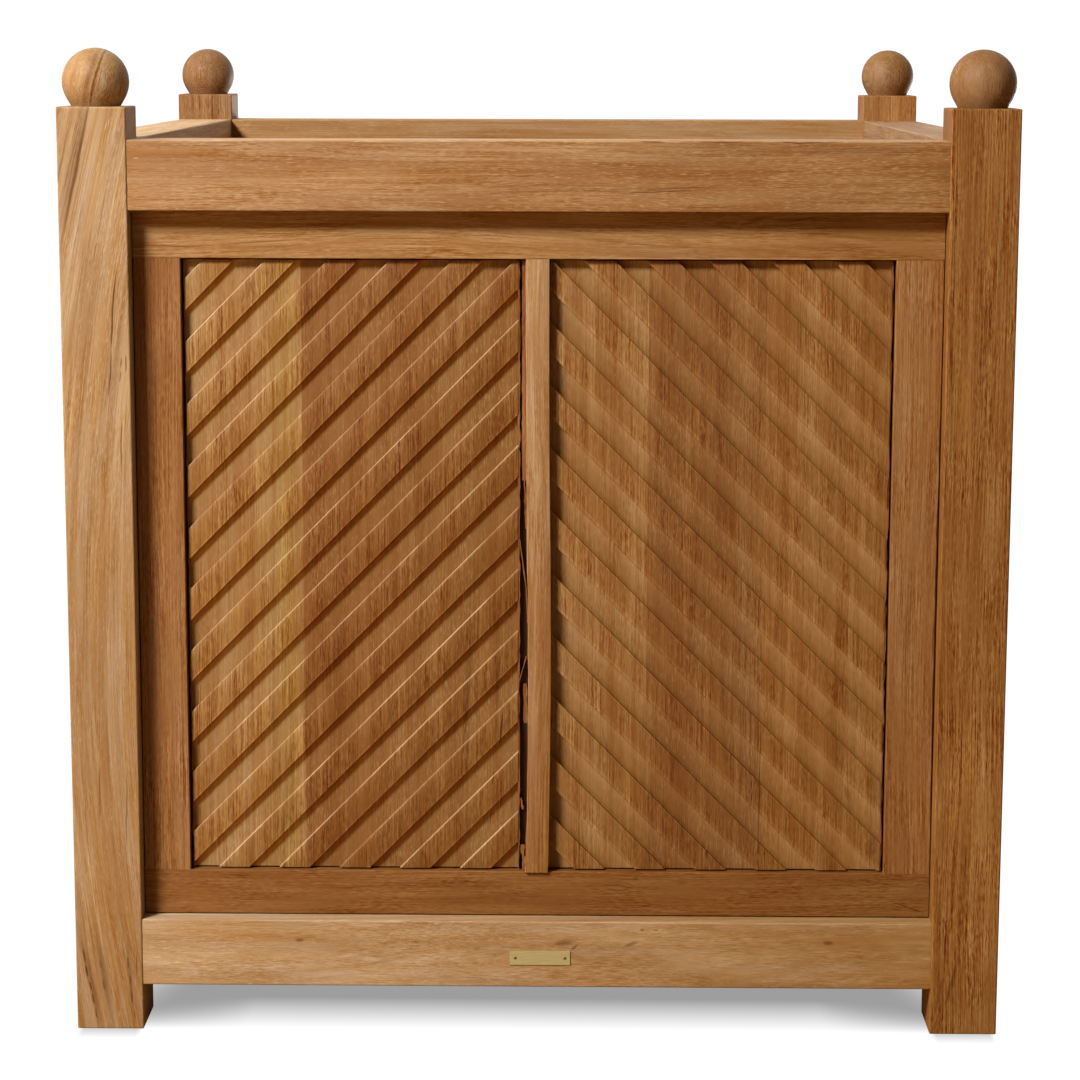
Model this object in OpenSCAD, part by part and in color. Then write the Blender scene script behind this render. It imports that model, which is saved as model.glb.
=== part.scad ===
// Versailles planter in oiled hardwood: four square posts with ball finials, mortised rails, and on
// each side a stile-and-rail frame that holds two chevron-milled floating panels. The floor is slatted.
// Millimetres, +Z up. The origin is on the ground below the planter's centre, and the front faces -Y.

/* [Overall] */
// Width over the posts, left to right
outer_w = 800; // [640:1:1000]
// Depth over the posts, front to back
outer_d = 800; // [640:1:1000]
// Height of the posts, without their finials
post_h = 797; // [640:1:1000]

/* [Posts] */
// Side of the square posts
post_s = 58; // [52:1:72]
// Height of the bottom rails' undersides above the ground
leg_h = 40; // [20:1:120]
// Radius that eases the edges of posts and rails
edge_r = 1.5; // [0.5:0.1:3]

/* [Rails] */
// Height of the top rails
top_rail_h = 59; // [48:1:80]
// Height of the bottom rails
bottom_rail_h = 59; // [48:1:90]
// From the post tops down to the top rails
top_rail_drop = 27; // [20:1:60]
// How far the rail faces lie behind the post faces
rail_inset = 1; // [0.5:0.1:3]
// Thickness of the rail tenons
tenon_t = 16; // [12:0.5:18]
// Shoulder above and below the rail tenons
tenon_shoulder = 9; // [9:0.5:14]

/* [Fits] */
// Clearance on each cheek of a tenon, tongue, dowel or screw
fit_gap = 0.2; // [0.1:0.05:0.4]
// Glue room at the bottom of a mortise, groove or bore
end_gap = 1.5; // [0.5:0.1:2]
// Gap between the mitred ends of two tenons that meet in a post
mitre_gap = 0.5; // [0.2:0.1:2]

/* [Side frames] */
// Thickness of the frame members
frame_t = 22; // [18:0.5:24]
// How far the frame's face lies behind the post faces
frame_recess = 18; // [10:0.5:20]
// Gap between the frame and the posts and rails round it
frame_gap = 0.8; // [0.2:0.1:1.5]
// Width of the stiles
stile_w = 40; // [30:1:60]
// Height of the head, the frame's upper member
head_h = 39.5; // [28:0.5:60]
// Height of the sill, the frame's lower member
sill_h = 39; // [28:0.5:60]
// Width of the muntin between the two panels
muntin_w = 20; // [16:1:40]
// How far the muntin stands out past the frame's face
muntin_proud = 2.8; // [0:0.1:4]
// Thickness of the tongue that runs round the frame
frame_tongue_t = 10; // [6:0.5:12]
// Reach of that tongue into the posts and rails
frame_tongue = 7; // [4:0.5:7]
// Radius that eases the frame members' edges
frame_edge_r = 0.8; // [0.3:0.1:1.5]

/* [Panels] */
// Thickness over the raised bands
panel_t = 16; // [14:0.5:18]
// How far the raised bands lie behind the frame's face
panel_setback = 4.6; // [0.5:0.1:5]
// Gap between a panel's face and the stile
stile_gap = 3; // [1:0.1:5]
// Gap between a left-hand panel's face and the muntin
left_muntin_gap = 6.2; // [0.5:0.1:7]
// Gap between a right-hand panel's face and the muntin
right_muntin_gap = 0.5; // [0.5:0.1:7]
// Gap between the panel's face and the head and sill
panel_gap_z = 1.5; // [1:0.1:5]
// Thickness of the panel's tongue
panel_tongue_t = 7; // [5:0.5:8]
// Reach of the panel's tongue into the frame
panel_tongue = 6; // [4:0.5:7]

/* [Bands] */
// Angle of the bands from the horizontal
band_angle = 45.5; // [30:0.5:60]
// Distance from band to band, square across them
band_pitch = 37.5; // [25:0.5:60]
// Width of the milled grooves between the raised bands
groove_w = 18.5; // [10:0.5:24]
// Depth of the milled grooves
groove_deep = 4.2; // [2:0.1:7]
// Height at which a left-hand band's top edge would cross the side's middle
left_band_z = 47.5; // [0:0.5:60]
// Height at which a right-hand band's top edge would cross the side's middle
right_band_z = 40; // [0:0.5:60]

/* [Finials] */
// Radius of the ball
ball_r = 28; // [22:0.5:34]
// Radius of the flat on which the ball sits
ball_seat_r = 20.5; // [16:0.5:21]
// Angle below the ball's equator at which it starts to taper to its seat
ball_taper = 30; // [20:1:40]
// Radius of the dowels that hold the finials
dowel_r = 6; // [4:0.5:8]
// Length of those dowels
dowel_len = 40; // [24:1:50]

/* [Base] */
// Width of the bearers under the floor slats
bearer_w = 28; // [22:1:36]
// Height of the bearers
bearer_h = 30; // [24:1:36]
// From the bottom rails' undersides up to the bearers
bearer_lift = 3; // [1:0.5:8]
// Thickness of the floor slats
slat_t = 20; // [14:0.5:24]
// Number of floor slats
slat_count = 8; // [6:1:8]
// Drainage gap between two slats
slat_gap = 6; // [3:0.5:12]
// Gap between the floor and the walls round it
slat_margin = 3; // [1:0.5:8]
// Reach of the middle bearer's tenons into the front and back rails
bearer_tenon = 15; // [8:1:20]
// Shoulder all round the middle bearer's tenons
bearer_shoulder = 6; // [3:0.5:8]

/* [Screws] */
// Radius of the screw shanks
screw_r = 2; // [1.5:0.1:2.5]
// Radius of the countersunk screw heads
screw_head_r = 4; // [3.5:0.1:5]
// Length of the screws through the slats
slat_screw = 38; // [30:1:42]
// Length of the screws through the side bearers
bearer_screw = 50; // [42:1:56]
// How far the screw heads are sunk below the wood
screw_sunk = 0.4; // [0.2:0.1:1]

/* [Plate] */
// Width of the bare brass plate
plate_w = 52; // [30:1:80]
// Height of the plate
plate_h = 12.4; // [8:0.1:20]
// Thickness of the plate
plate_t = 0.8; // [0.5:0.1:1]
// How far the plate's middle lies right of the side's middle
plate_x = 3.5; // [-20:0.5:20]
// How far the plate's middle lies below the rail's middle
plate_drop = 3; // [0:0.5:15]
// Radius of the plate's pins
pin_r = 0.8; // [0.5:0.1:1]
// Radius of the pin heads
pin_head_r = 1.4; // [1.2:0.1:2]
// Height of the domed pin heads
pin_head_h = 0.6; // [0.3:0.1:1]
// Length of the pins in the wood
pin_len = 9; // [5:1:12]
// Distance from the plate's ends to its pins
pin_inset = 4.5; // [3:0.5:8]

/* [Hidden] */
$fn = 64;
SIDES = [0, 1, 2, 3];
SIDE_NAMES = ["front", "right_side", "back", "left_side"];
CORNERS = [[-1, -1], [1, -1], [1, 1], [-1, 1]];
CORNER_NAMES = ["front_left", "front_right", "back_right", "back_left"];
SIDE_PARTS = [
    "top_rail", "bottom_rail", "frame_head", "frame_sill", "frame_left_stile",
    "frame_right_stile", "frame_muntin", "left_panel", "right_panel"
];

POST_COLOUR = "#B98A58";
RAIL_COLOUR = "#B27C48";
FRAME_COLOUR = "#A9713F";
PANEL_COLOUR = "#9C6636";
BASE_COLOUR = "#A67645";
STEEL_COLOUR = "#B4B6B8";
BRASS_COLOUR = "#C8B36A";

// How far a cutter runs past the face that it opens
through = 1;
// Thickness of wood between the milled grooves and the panel's tongue
tongue_backing = 1;

// Levels of the rails
bottom_rail_z = leg_h;
bottom_rail_top = leg_h + bottom_rail_h;
top_rail_z = post_h - top_rail_drop - top_rail_h;
rail_d = post_s - 2 * rail_inset;
tenon_y = (post_s - tenon_t) / 2;

// The side frame, from the post faces inwards and from the ground up
frame_z0 = bottom_rail_top + frame_gap;
frame_z1 = top_rail_z - frame_gap;
opening_z0 = frame_z0 + sill_h;
opening_z1 = frame_z1 - head_h;
frame_tongue_y = frame_recess + (frame_t - frame_tongue_t) / 2;
panel_y = frame_recess + panel_setback;
panel_tongue_y = panel_y + groove_deep + tongue_backing;
panel_groove = panel_tongue + end_gap;
frame_groove = frame_tongue + end_gap;

// The bands, measured straight up the panel
band_rise = band_pitch / cos(band_angle);

// The finial's seat lies this far below the ball's centre
ball_drop = (ball_r - ball_seat_r * cos(ball_taper)) / sin(ball_taper);

// The slatted floor
inner_w = outer_w - 2 * (post_s - rail_inset);
inner_d = outer_d - 2 * (post_s - rail_inset);
bearer_z = leg_h + bearer_lift;
slat_z = bearer_z + bearer_h;
slat_len = outer_w - 2 * (post_s + slat_margin);
floor_d = outer_d - 2 * (post_s + slat_margin);
slat_w = (floor_d - (slat_count - 1) * slat_gap) / slat_count;
bearer_x = [-(inner_w - bearer_w) / 2, 0, (inner_w - bearer_w) / 2];
screw_head_h = screw_head_r - screw_r;

// The plate's pins, from the side's middle and from the ground
plate_z = bottom_rail_z + bottom_rail_h / 2 - plate_drop;
pin_xs = [plate_x - plate_w / 2 + pin_inset, plate_x + plate_w / 2 - pin_inset];

function side_len(s) = s % 2 == 0 ? outer_w : outer_d;
function side_out(s) = (s % 2 == 0 ? outer_d : outer_w) / 2;
function clear_len(s) = side_len(s) - 2 * post_s;
// Half the frame's width, without its tongues
function frame_half(s) = clear_len(s) / 2 - frame_gap;
function slat_y(k) = -floor_d / 2 + slat_w / 2 + (k - 1) * (slat_w + slat_gap);
// Middles of every other gap between the slats, where the side bearers are screwed to the rails
function bearer_screw_ys() = [for (k = [1:2:slat_count - 1]) slat_y(k) + (slat_w + slat_gap) / 2];

// Puts a piece of side s in place. In a side's own frame X runs to the right as seen from outside,
// Y runs inwards from the post faces, and Z is the height.
module on_side(s) {
    rotate([0, 0, 90 * s])
        translate([0, -side_out(s), 0])
            children();
}

// Puts a piece at a corner. X and Y run inwards from the post's two outer faces.
module at_corner(corner) {
    mirror([corner[0] > 0 ? 1 : 0, 0, 0])
        mirror([0, corner[1] > 0 ? 1 : 0, 0])
            translate([-outer_w / 2, -outer_d / 2, 0])
                children();
}

module mirrored_x() {
    children();
    mirror([1, 0, 0])
        children();
}

// A block between two corners
module block(low, high) {
    translate(low)
        cube(high - low);
}

// A rectangle from the origin with rounded corners
module eased_rect(size, r) {
    translate([r, 0])
        square([size[0] - 2 * r, size[1]]);
    translate([0, r])
        square([size[0], size[1] - 2 * r]);
    for (x = [r, size[0] - r])
        for (y = [r, size[1] - r])
            translate([x, y])
                circle(r);
}

// A bar along X between two corners, with its four long edges eased
module bar_x(low, high, r) {
    translate(low)
        rotate([90, 0, 90])
            linear_extrude(high[0] - low[0])
                eased_rect([high[1] - low[1], high[2] - low[2]], r);
}

// A bar along Y between two corners, with its four long edges eased
module bar_y(low, high, r) {
    translate([low[0], high[1], low[2]])
        rotate([90, 0, 0])
            linear_extrude(high[1] - low[1])
                eased_rect([high[0] - low[0], high[2] - low[2]], r);
}

// A bar along Z between two corners, with its four long edges eased
module bar_z(low, high, r) {
    translate(low)
        linear_extrude(high[2] - low[2])
            eased_rect([high[0] - low[0], high[1] - low[1]], r);
}

// One corner post: two mitred mortises at each rail height, two frame grooves and the finial's bore
module post(corner) {
    color(POST_COLOUR)
        at_corner(corner)
            difference() {
                intersection() {
                    bar_z([0, 0, 0], [post_s, post_s, post_h], edge_r);
                    bar_x([-through, 0, 0], [post_s + through, post_s, post_h], edge_r);
                    bar_y([0, -through, 0], [post_s, post_s + through, post_h], edge_r);
                }
                post_cuts();
                // the same cuts for the rail and frame round the corner
                mirror([1, -1, 0])
                    post_cuts();
                translate([post_s / 2, post_s / 2, post_h - dowel_len / 2 - end_gap])
                    cylinder(r = dowel_r + fit_gap, h = dowel_len);
            }
}

// What the rails and the frame that run along X need in a post
module post_cuts() {
    for (rail = [[bottom_rail_z, bottom_rail_h], [top_rail_z, top_rail_h]])
        block(
            [tenon_y - end_gap, tenon_y - fit_gap, rail[0] + tenon_shoulder - fit_gap],
            [post_s + through, tenon_y + tenon_t + fit_gap, rail[0] + rail[1] - tenon_shoulder + fit_gap]
        );
    block(
        [post_s - frame_groove, frame_tongue_y - fit_gap, bottom_rail_top],
        [post_s + through, frame_tongue_y + frame_tongue_t + fit_gap, top_rail_z]
    );
}

// Half the outline of a finial: a ball, and the straight taper that meets it and widens its seat
module finial_outline() {
    intersection() {
        union() {
            translate([0, ball_drop])
                circle(ball_r);
            polygon([
                [0, ball_drop],
                [0, 0],
                [ball_seat_r, 0],
                [ball_r * cos(ball_taper), ball_drop - ball_r * sin(ball_taper)]
            ]);
        }
        square([ball_r + through, ball_drop + ball_r + through]);
    }
}

// A turned finial, bored for its dowel
module finial(corner) {
    color(POST_COLOUR)
        at_corner(corner)
            translate([post_s / 2, post_s / 2, post_h])
                difference() {
                    rotate_extrude()
                        finial_outline();
                    translate([0, 0, -through])
                        cylinder(r = dowel_r + fit_gap, h = dowel_len / 2 + end_gap + through);
                }
}

// A rail of side s from height z, with mitred tenons and a groove for the frame from groove_z0 to
// groove_z1
module rail(s, z, h, groove_z0, groove_z1) {
    half = clear_len(s) / 2;
    difference() {
        bar_x([-half, rail_inset, z], [half, rail_inset + rail_d, z + h], edge_r);
        block(
            [-half - through, frame_tongue_y - fit_gap, groove_z0],
            [half + through, frame_tongue_y + frame_tongue_t + fit_gap, groove_z1]
        );
    }
    mirrored_x()
        translate([half, 0, z + tenon_shoulder])
            linear_extrude(h - 2 * tenon_shoulder)
                polygon([
                    [0, tenon_y],
                    [post_s - tenon_y - mitre_gap, tenon_y],
                    [tenon_y - mitre_gap, tenon_y + tenon_t],
                    [0, tenon_y + tenon_t]
                ]);
}

module top_rail(s) {
    color(RAIL_COLOUR)
        on_side(s)
            rail(s, top_rail_z, top_rail_h, top_rail_z - through, top_rail_z + frame_groove);
}

// The front and back ones are mortised for the middle bearer, the other two are bored for screws
module bottom_rail(s) {
    groove_z0 = bottom_rail_top - frame_groove;
    // X runs towards the back on the right side and towards the front on the left side
    towards_back = s == 1 ? 1 : -1;
    color(RAIL_COLOUR)
        on_side(s)
            difference() {
                rail(s, bottom_rail_z, bottom_rail_h, groove_z0, bottom_rail_top + through);
                if (s % 2 == 0)
                    block(
                        [
                            -bearer_w / 2 + bearer_shoulder - fit_gap,
                            post_s - rail_inset - bearer_tenon - end_gap,
                            bearer_z + bearer_shoulder - fit_gap
                        ],
                        [
                            bearer_w / 2 - bearer_shoulder + fit_gap,
                            post_s + through,
                            slat_z - bearer_shoulder + fit_gap
                        ]
                    );
                else
                    for (y = bearer_screw_ys())
                        translate([
                            y * towards_back,
                            post_s - rail_inset + bearer_w - screw_sunk,
                            bearer_z + bearer_h / 2
                        ])
                            rotate([90, 0, 0])
                                cylinder(r = screw_r + fit_gap, h = bearer_screw + end_gap);
                if (s == 0)
                    for (x = pin_xs)
                        translate([x, rail_inset - through, plate_z])
                            rotate([-90, 0, 0])
                                cylinder(r = pin_r + fit_gap, h = pin_len + end_gap + through);
            }
}

// The frame's upper or lower member, made as a head: its tongue fits the rail above, and its
// lower edge is grooved for the panels
module frame_member(s, z0, z1) {
    half = frame_half(s);
    reach = clear_len(s) / 2 + frame_tongue;
    tongue_y1 = frame_tongue_y + frame_tongue_t;
    difference() {
        union() {
            bar_x([-half, frame_recess, z0], [half, frame_recess + frame_t, z1], frame_edge_r);
            block([-half, frame_tongue_y, z1 - through], [half, tongue_y1, z1 + frame_gap + frame_tongue]);
            block([-reach, frame_tongue_y, z0], [reach, tongue_y1, z1]);
        }
        block(
            [-reach - through, panel_tongue_y - fit_gap, z0 - through],
            [reach + through, panel_tongue_y + panel_tongue_t + fit_gap, z0 + panel_groove]
        );
    }
}

module frame_head(s) {
    color(FRAME_COLOUR)
        on_side(s)
            frame_member(s, opening_z1, frame_z1);
}

module frame_sill(s) {
    color(FRAME_COLOUR)
        on_side(s)
            mirror([0, 0, 1])
                frame_member(s, -opening_z0, -frame_z0);
}

// An upright from x0 to x1 with a stub tenon at each end, standing out past the frame's face by
// proud
module upright(x0, x1, proud) {
    tenon_y0 = panel_tongue_y;
    tenon_y1 = panel_tongue_y + panel_tongue_t;
    face_y = frame_recess - proud;
    bar_z([x0, face_y, opening_z0], [x1, frame_recess + frame_t, opening_z1], frame_edge_r);
    block([x0, tenon_y0, opening_z0 - panel_tongue], [x1, tenon_y1, opening_z1 + panel_tongue]);
}

// The groove for a panel's tongue in an upright's edge, from x0 to x1
module upright_groove(x0, x1) {
    block(
        [x0, panel_tongue_y - fit_gap, opening_z0 - panel_groove],
        [x1, panel_tongue_y + panel_tongue_t + fit_gap, opening_z1 + panel_groove]
    );
}

// The left-hand stile: its tongue fits the post, and its inner edge is grooved for the panel
module stile(s) {
    x0 = -frame_half(s);
    x1 = x0 + stile_w;
    difference() {
        union() {
            upright(x0, x1, 0);
            block(
                [x0 - frame_gap - frame_tongue, frame_tongue_y, opening_z0],
                [x0 + through, frame_tongue_y + frame_tongue_t, opening_z1]
            );
        }
        upright_groove(x1 - panel_groove, x1 + through);
    }
}

module frame_left_stile(s) {
    color(FRAME_COLOUR)
        on_side(s)
            stile(s);
}

module frame_right_stile(s) {
    color(FRAME_COLOUR)
        on_side(s)
            mirror([1, 0, 0])
                stile(s);
}

// The narrow upright between the panels, grooved on both edges
module frame_muntin(s) {
    color(FRAME_COLOUR)
        on_side(s)
            difference() {
                upright(-muntin_w / 2, muntin_w / 2, muntin_proud);
                mirrored_x()
                    upright_groove(muntin_w / 2 - panel_groove, muntin_w / 2 + through);
            }
}

// A left-hand panel: a field with milled bands that rise to the right, on a tongue that floats in
// the frame. first_z is the height at which one band's top edge would cross the side's middle.
module panel(s, first_z, muntin_gap) {
    x0 = -frame_half(s) + stile_w;
    x1 = -muntin_w / 2;
    // The lowest and highest band whose groove touches the field
    k0 = floor((opening_z0 - first_z) / band_rise) - 1;
    k1 = ceil((opening_z1 - x0 * tan(band_angle) - first_z) / band_rise);
    groove_len = (x1 - x0) / cos(band_angle);
    difference() {
        union() {
            block(
                [x0 + stile_gap, panel_y, opening_z0 + panel_gap_z],
                [x1 - muntin_gap, panel_y + panel_t, opening_z1 - panel_gap_z]
            );
            block(
                [x0 - panel_tongue, panel_tongue_y, opening_z0 - panel_tongue],
                [x1 + panel_tongue, panel_tongue_y + panel_tongue_t, opening_z1 + panel_tongue]
            );
        }
        for (k = [k0:k1])
            translate([0, panel_y - through, first_z + k * band_rise])
                rotate([0, -band_angle, 0])
                    translate([x0 / cos(band_angle) - groove_w, 0, 0])
                        cube([groove_len + 3 * groove_w, groove_deep + through, groove_w]);
    }
}

module left_panel(s) {
    color(PANEL_COLOUR)
        on_side(s)
            panel(s, left_band_z, left_muntin_gap);
}

module right_panel(s) {
    color(PANEL_COLOUR)
        on_side(s)
            mirror([1, 0, 0])
                panel(s, right_band_z, right_muntin_gap);
}

// The pilot holes of the slat screws in the bearer at x
module slat_screw_holes(x) {
    for (k = [1:slat_count])
        for (dy = [-slat_w / 4, slat_w / 4])
            translate([x, slat_y(k) + dy, slat_z + slat_t - screw_sunk - slat_screw - end_gap])
                cylinder(r = screw_r + fit_gap, h = slat_screw);
}

// A bearer screwed to the inside of a bottom rail, on the left for side -1 and on the right for 1
module side_bearer(side) {
    x = bearer_x[1 + side];
    color(BASE_COLOUR)
        difference() {
            bar_y(
                [x - bearer_w / 2, -floor_d / 2, bearer_z],
                [x + bearer_w / 2, floor_d / 2, slat_z],
                edge_r
            );
            slat_screw_holes(x);
            for (y = bearer_screw_ys())
                translate([x, y, bearer_z + bearer_h / 2])
                    rotate([0, -90 * side, 0])
                        translate([0, 0, bearer_w / 2])
                            screw_hole(bearer_w);
        }
}

// The bearer under the slats' middles, tenoned into the front and back rails
module middle_bearer() {
    tenon_half = bearer_w / 2 - bearer_shoulder;
    tenon_end = inner_d / 2 + bearer_tenon;
    color(BASE_COLOUR)
        difference() {
            union() {
                bar_y(
                    [-bearer_w / 2, -inner_d / 2 + fit_gap, bearer_z],
                    [bearer_w / 2, inner_d / 2 - fit_gap, slat_z],
                    edge_r
                );
                block(
                    [-tenon_half, -tenon_end, bearer_z + bearer_shoulder],
                    [tenon_half, tenon_end, slat_z - bearer_shoulder]
                );
            }
            slat_screw_holes(0);
        }
}

// A countersunk hole from the surface at z = 0 down through the given depth
module screw_hole(depth) {
    cone_h = screw_head_h + screw_sunk;
    translate([0, 0, -depth - through])
        cylinder(r = screw_r + fit_gap, h = depth + 2 * through);
    translate([0, 0, -cone_h])
        cylinder(r1 = screw_r + fit_gap, r2 = screw_head_r + screw_sunk + fit_gap, h = cone_h);
}

// A countersunk screw, its head sunk just below the surface at z = 0
module screw(length) {
    translate([0, 0, -screw_sunk - screw_head_h])
        cylinder(r1 = screw_r, r2 = screw_head_r, h = screw_head_h);
    translate([0, 0, -screw_sunk - length])
        cylinder(r = screw_r, h = length - screw_head_h);
}

module floor_slat(k) {
    color(BASE_COLOUR)
        difference() {
            bar_x(
                [-slat_len / 2, slat_y(k) - slat_w / 2, slat_z],
                [slat_len / 2, slat_y(k) + slat_w / 2, slat_z + slat_t],
                edge_r
            );
            for (x = bearer_x)
                for (dy = [-slat_w / 4, slat_w / 4])
                    translate([x, slat_y(k) + dy, slat_z + slat_t])
                        screw_hole(slat_t);
        }
}

module slat_screws() {
    color(STEEL_COLOUR)
        for (k = [1:slat_count])
            for (x = bearer_x)
                for (dy = [-slat_w / 4, slat_w / 4])
                    translate([x, slat_y(k) + dy, slat_z + slat_t])
                        screw(slat_screw);
}

module bearer_screws() {
    color(STEEL_COLOUR)
        for (side = [-1, 1])
            for (y = bearer_screw_ys())
                translate([side * (inner_w / 2 - bearer_w), y, bearer_z + bearer_h / 2])
                    rotate([0, -90 * side, 0])
                        screw(bearer_screw);
}

module finial_dowels() {
    color(RAIL_COLOUR)
        for (corner = CORNERS)
            at_corner(corner)
                translate([post_s / 2, post_s / 2, post_h - dowel_len / 2])
                    cylinder(r = dowel_r, h = dowel_len);
}

// The bare plate on the front bottom rail, drilled for its pins
module brass_plate() {
    color(BRASS_COLOUR)
        on_side(0)
            difference() {
                block(
                    [plate_x - plate_w / 2, rail_inset - plate_t, plate_z - plate_h / 2],
                    [plate_x + plate_w / 2, rail_inset, plate_z + plate_h / 2]
                );
                for (x = pin_xs)
                    translate([x, -through, plate_z])
                        rotate([-90, 0, 0])
                            cylinder(r = pin_r + fit_gap, h = plate_t + 2 * through);
            }
}

// Two domed pins that hold the plate
module plate_pins() {
    dome_r = (pow(pin_head_r, 2) + pow(pin_head_h, 2)) / (2 * pin_head_h);
    color(BRASS_COLOUR)
        on_side(0)
            for (x = pin_xs)
                translate([x, rail_inset - plate_t, plate_z])
                    rotate([90, 0, 0]) {
                        intersection() {
                            translate([0, 0, pin_head_h - dome_r])
                                sphere(dome_r);
                            cylinder(r = 2 * pin_head_r, h = 2 * pin_head_h);
                        }
                        translate([0, 0, -pin_len - plate_t])
                            cylinder(r = pin_r, h = pin_len + plate_t);
                    }
}

for (i = [0:3]) {
    post(CORNERS[i]);
    finial(CORNERS[i]);
}
for (s = SIDES) {
    top_rail(s);
    bottom_rail(s);
    frame_head(s);
    frame_sill(s);
    frame_left_stile(s);
    frame_right_stile(s);
    frame_muntin(s);
    left_panel(s);
    right_panel(s);
}
for (k = [1:slat_count])
    floor_slat(k);
side_bearer(-1);  // left_bearer
middle_bearer();
side_bearer(1);  // right_bearer
finial_dowels();
bearer_screws();
slat_screws();
brass_plate();
plate_pins();
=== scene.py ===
import math
import random

import bpy
from mathutils import Euler, Matrix, Vector


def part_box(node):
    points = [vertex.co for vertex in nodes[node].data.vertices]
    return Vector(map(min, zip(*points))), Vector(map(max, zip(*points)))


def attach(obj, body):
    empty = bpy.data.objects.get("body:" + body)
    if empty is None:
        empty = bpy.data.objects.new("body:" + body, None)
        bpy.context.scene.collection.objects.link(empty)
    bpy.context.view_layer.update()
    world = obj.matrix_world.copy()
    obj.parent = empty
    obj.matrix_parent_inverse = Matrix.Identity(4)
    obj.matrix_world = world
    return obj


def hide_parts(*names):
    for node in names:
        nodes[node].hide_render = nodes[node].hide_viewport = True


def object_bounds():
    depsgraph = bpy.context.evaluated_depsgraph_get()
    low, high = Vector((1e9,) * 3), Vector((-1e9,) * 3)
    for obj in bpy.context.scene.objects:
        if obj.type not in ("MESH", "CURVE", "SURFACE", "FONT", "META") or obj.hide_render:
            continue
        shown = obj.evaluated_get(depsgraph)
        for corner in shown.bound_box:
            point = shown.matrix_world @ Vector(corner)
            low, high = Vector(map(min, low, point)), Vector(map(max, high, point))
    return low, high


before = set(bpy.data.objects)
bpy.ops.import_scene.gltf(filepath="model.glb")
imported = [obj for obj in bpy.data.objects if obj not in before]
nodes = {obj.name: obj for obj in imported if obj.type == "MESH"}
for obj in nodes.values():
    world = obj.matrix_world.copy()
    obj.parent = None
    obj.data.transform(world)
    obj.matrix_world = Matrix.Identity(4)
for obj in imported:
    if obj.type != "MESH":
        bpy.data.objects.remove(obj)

cadLow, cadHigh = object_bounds()
mm = 0.001

print("stage: camera, floor and light")

photoSize = 1080
cameraSetup = {
    "place": (31.172, -2783.916, 841.522),  # mm from the planter's middle on the ground
    "yaw": -0.014010,  # radians, to the left of the planter's own depth direction
    "pitch": 0.159794,  # looking down
    "roll": -0.002125,
    "focal": 2855.18,  # in pixels of the 1080 px frame
    "middle": (534.365, 513.452),  # where the optical axis meets the frame
    "sensor": 36.0,  # mm
    "clip": 200,  # m
}


def addCamera(setup):
    yaw, pitch, roll = setup["yaw"], setup["pitch"], setup["roll"]
    ahead = Vector((math.sin(yaw) * math.cos(pitch), math.cos(yaw) * math.cos(pitch), -math.sin(pitch)))
    level = Vector((math.cos(yaw), -math.sin(yaw), 0))
    down = ahead.cross(level)
    right = math.cos(roll) * level + math.sin(roll) * down
    down = math.cos(roll) * down - math.sin(roll) * level
    data = bpy.data.cameras.new("photo_camera")
    data.sensor_width = setup["sensor"]
    data.lens = setup["focal"] / photoSize * setup["sensor"]
    data.shift_x = (photoSize / 2 - setup["middle"][0]) / photoSize
    data.shift_y = (setup["middle"][1] - photoSize / 2) / photoSize
    data.clip_end = setup["clip"]
    camera = bpy.data.objects.new("photo_camera", data)
    turn = Matrix((right, -down, -ahead)).transposed().to_4x4()
    camera.matrix_world = Matrix.Translation(Vector(setup["place"]) * mm) @ turn
    bpy.context.scene.collection.objects.link(camera)
    bpy.context.scene.camera = camera


addCamera(cameraSetup)


def linearColour(hexText):
    parts = [int(hexText[k:k + 2], 16) / 255 for k in (1, 3, 5)]
    return tuple(p / 12.92 if p <= 0.04045 else ((p + 0.055) / 1.055) ** 2.4 for p in parts) + (1.0,)


def addNode(tree, kind, settings, inputs):
    node = tree.nodes.new(kind)
    for name, value in settings.items():
        setattr(node, name, value)
    for socket, value in inputs.items():
        if isinstance(value, bpy.types.NodeSocket):
            tree.links.new(value, node.inputs[socket])
        else:
            node.inputs[socket].default_value = value
    return node


smooth = {"interpolation_type": "SMOOTHSTEP"}  # for a Map Range node

studio = {
    "sky": (0.09, 0.40, 1.15),  # how bright the room is at the camera's side, beside and behind
    "skyDepths": (-0.7, 0.1, 0.85),  # towards the back, from -1 to 1, where those three are reached
    "skyTint": "#FFE3BE",  # of the front half of the room
    "skyWhite": (0.2, 0.85),  # between these depths the tint turns to white
    "floorSize": 60,  # m
    "bounce": "#A0815C",  # what the pieces see of the floor
    "bounceRoughness": 0.9,
    "bounceGloss": 0.1,
    "paintedShadowReach": 0.088,  # m, over which the painted shadow darkens the paper from the planter's edge inwards
    "paintedShadowDark": 0.34,  # how bright the paper stays under the planter, in its painted shadow
    "footReach": 0.09,  # m, how far from a foot the shadow's edge has become fully soft
    "footEdge": 2.0,  # how much sharper that edge is beside the foot
    "paintedFootShadow": (0.026, 0.42),  # m and share by which a painted contact shadow dims the paper before a foot
    "footSide": 0.006,  # m, over which that ends at the foot's sides
    "paperWhite": 1.06,  # the floor and the room, as the camera sees them
}


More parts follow.
